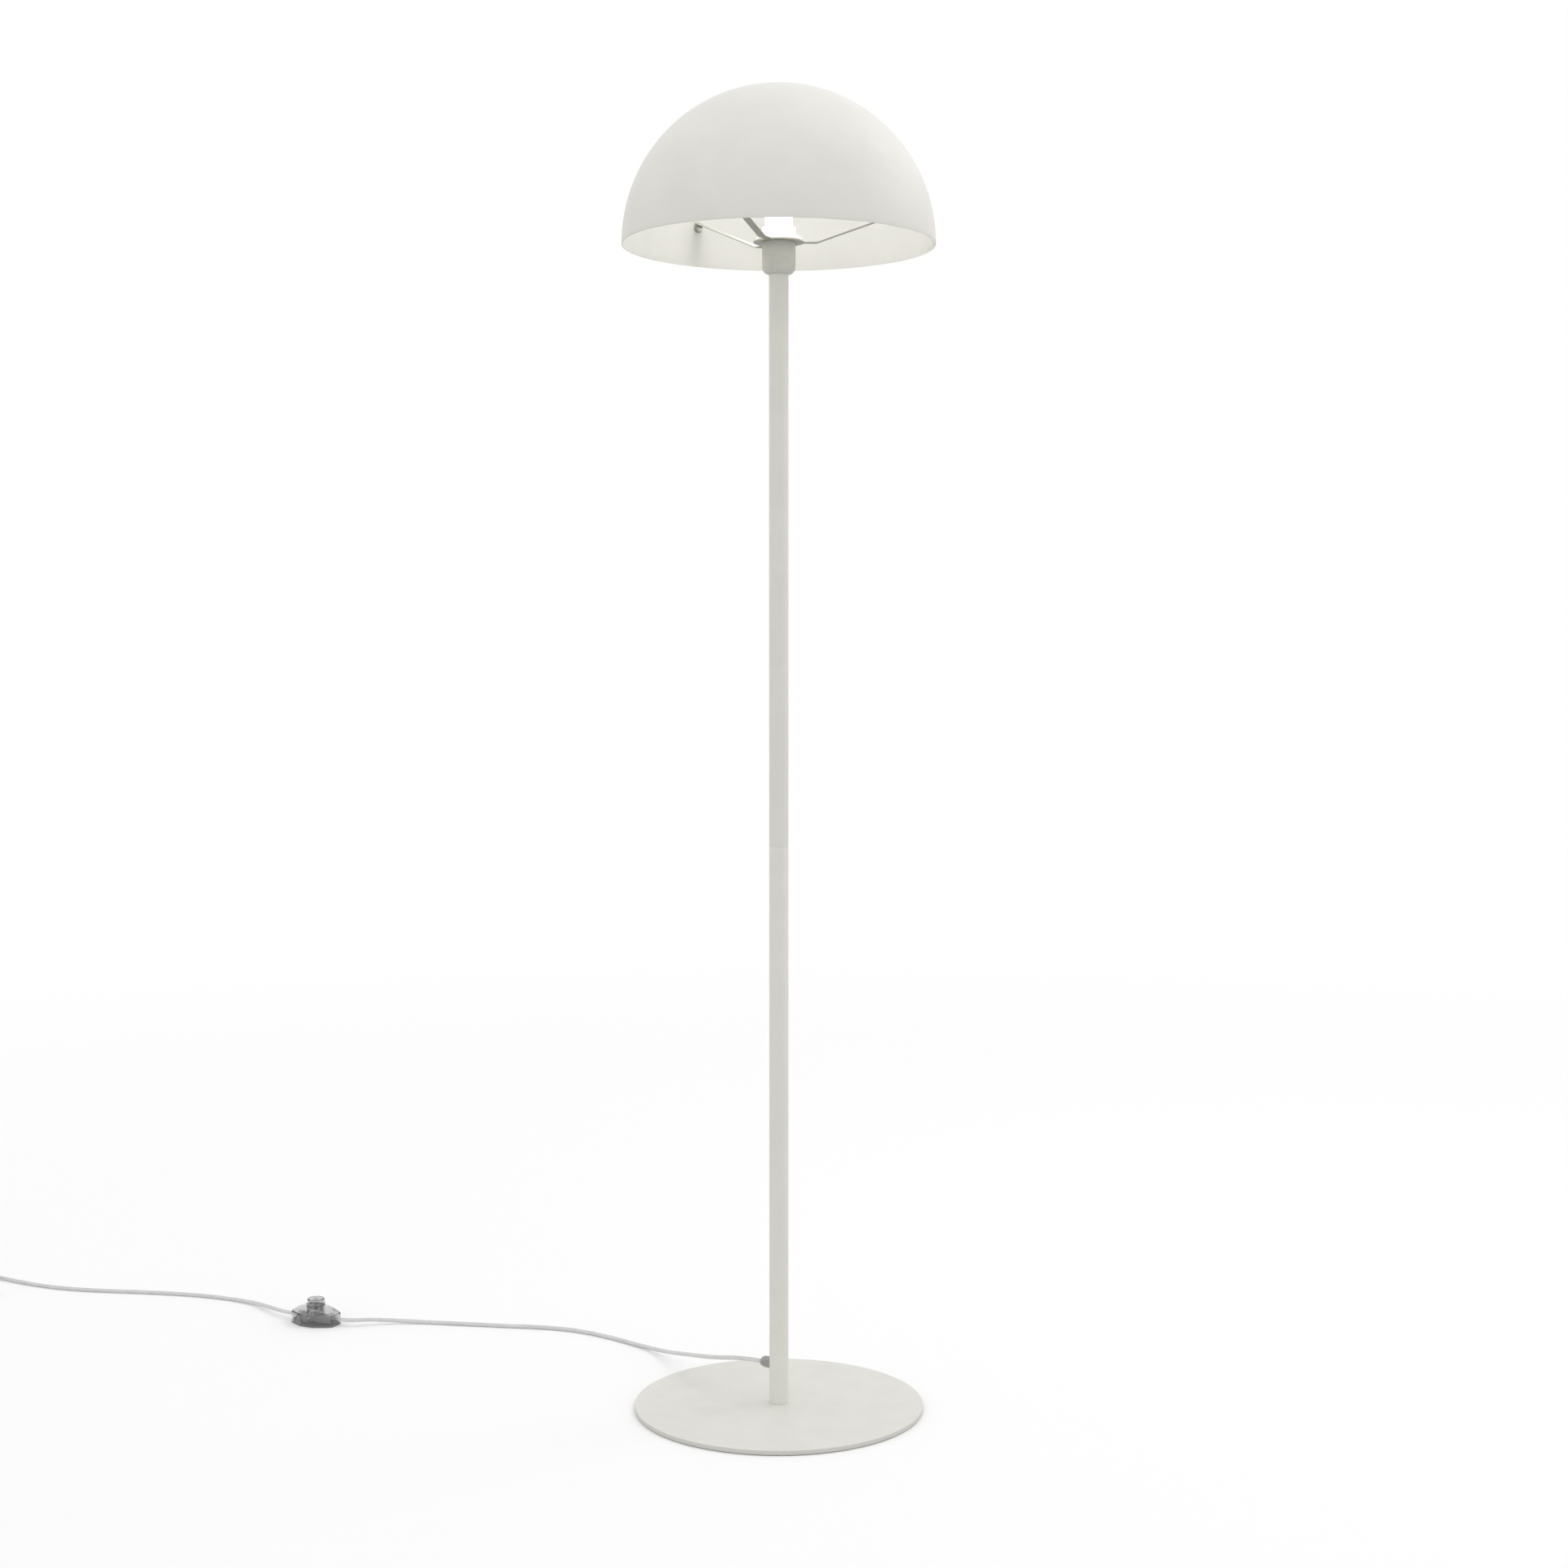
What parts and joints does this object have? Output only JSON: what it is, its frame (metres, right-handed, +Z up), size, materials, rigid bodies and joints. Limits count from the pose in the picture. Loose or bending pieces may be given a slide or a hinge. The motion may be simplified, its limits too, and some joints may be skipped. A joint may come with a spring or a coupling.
{
  "type": "floor lamp",
  "caption": "Free-standing floor lamp: a domed metal shade over a bulb on a slim pole, with a round base plate and a foot switch on its cord.",
  "frame": {"origin": "on the floor under the centre of the base plate, on the pole's axis", "axes": "+Z up the pole; -Y towards the viewer, with the cord leaving towards -X and +Y"},
  "size_m": [1.5191, 0.8674, 1.705],
  "materials": {
    "shade_coat": "warm off-white powder coat with a fine even texture, satin",
    "stand_coat": "warm off-white powder coat with a fine even texture, satin",
    "carrier_coat": "plain grey powder coat, satin",
    "pad_rubber": "soft pale rubber, matt",
    "zinc_steel": "zinc-plated turned steel",
    "outlet_plastic": "grey translucent moulded plastic",
    "cord_pvc": "pale translucent PVC sheath, smooth",
    "holder_plastic": "white moulded thermoset plastic",
    "steatite": "cream glazed steatite",
    "brass": "bright pressed brass",
    "wire_pvc": "insulated copper wire",
    "frosted_glass": "evenly frosted glass",
    "nickel": "bright nickel plate",
    "smoky_plastic": "smoke-grey clear moulded plastic",
    "smoky_insert": "smoke-grey moulded plastic insert",
    "rotor_plastic": "white nylon",
    "tie_pvc": "white soft PVC strip",
    "plug_pvc": "pale moulded PVC"
  },
  "bodies": {
    "lamp": {"base_pads": "pad_rubber", "base_plate": "stand_coat", "base_screw": "zinc_steel", "bulb_cap": "nickel", "bulb_contact": "nickel", "bulb_glass": "frosted_glass", "centre_contact": "brass", "coil_tie": "tie_pvc", "cord_coil": "cord_pvc", "cord_lamp_side": "cord_pvc", "cord_outlet": "outlet_plastic", "cord_wall_side": "cord_pvc", "foot_insert": "zinc_steel", "holder_cup": "stand_coat", "holder_wires": "wire_pvc", "joint_socket": "zinc_steel", "joint_stud": "zinc_steel", "lampholder_body": "holder_plastic", "lampholder_cap": "holder_plastic", "nipple_nut": "zinc_steel", "outlet_nut": "outlet_plastic", "plug_body": "plug_pvc", "plug_pins": "nickel", "pole_lead": "cord_pvc", "pole_lower": "stand_coat", "pole_upper": "stand_coat", "screw_shell": "brass", "shade": "shade_coat", "shade_carrier": "carrier_coat", "shade_nuts": "zinc_steel", "shade_ring": "holder_plastic", "shade_studs": "zinc_steel", "spring_seat": "smoky_insert", "switch_base": "smoky_plastic", "switch_block": "smoky_insert", "switch_clamps": "smoky_insert", "switch_contacts": "brass", "switch_cover": "smoky_plastic", "switch_screws": "zinc_steel", "switch_spring": "zinc_steel", "switch_wires": "wire_pvc", "terminal_block": "steatite", "terminal_screws": "brass", "threaded_nipple": "zinc_steel", "top_insert": "zinc_steel"},
    "button": {"switch_button": "smoky_plastic"},
    "rotor": {"switch_rotor": "rotor_plastic"}
  },
  "joints": [
    {"name": "switch_button_press", "type": "slide", "parent": "lamp", "child": "button", "axis": [0, 0, -1], "range_m": [0, 0.0035], "stiffness_N_per_m": 700, "springref_m": -0.003, "deforming": ["switch_spring"]},
    {"name": "switch_ratchet_turn", "type": "hinge", "parent": "lamp", "child": "rotor", "pos_m": [-0.6798, 0.3913, 0.009], "axis": [0, 0, 1], "range_deg": [0, 45]}
  ],
  "couplings": [
    {"joint": "switch_ratchet_turn", "follows": "switch_button_press", "rad_per_m": 224}
  ]
}
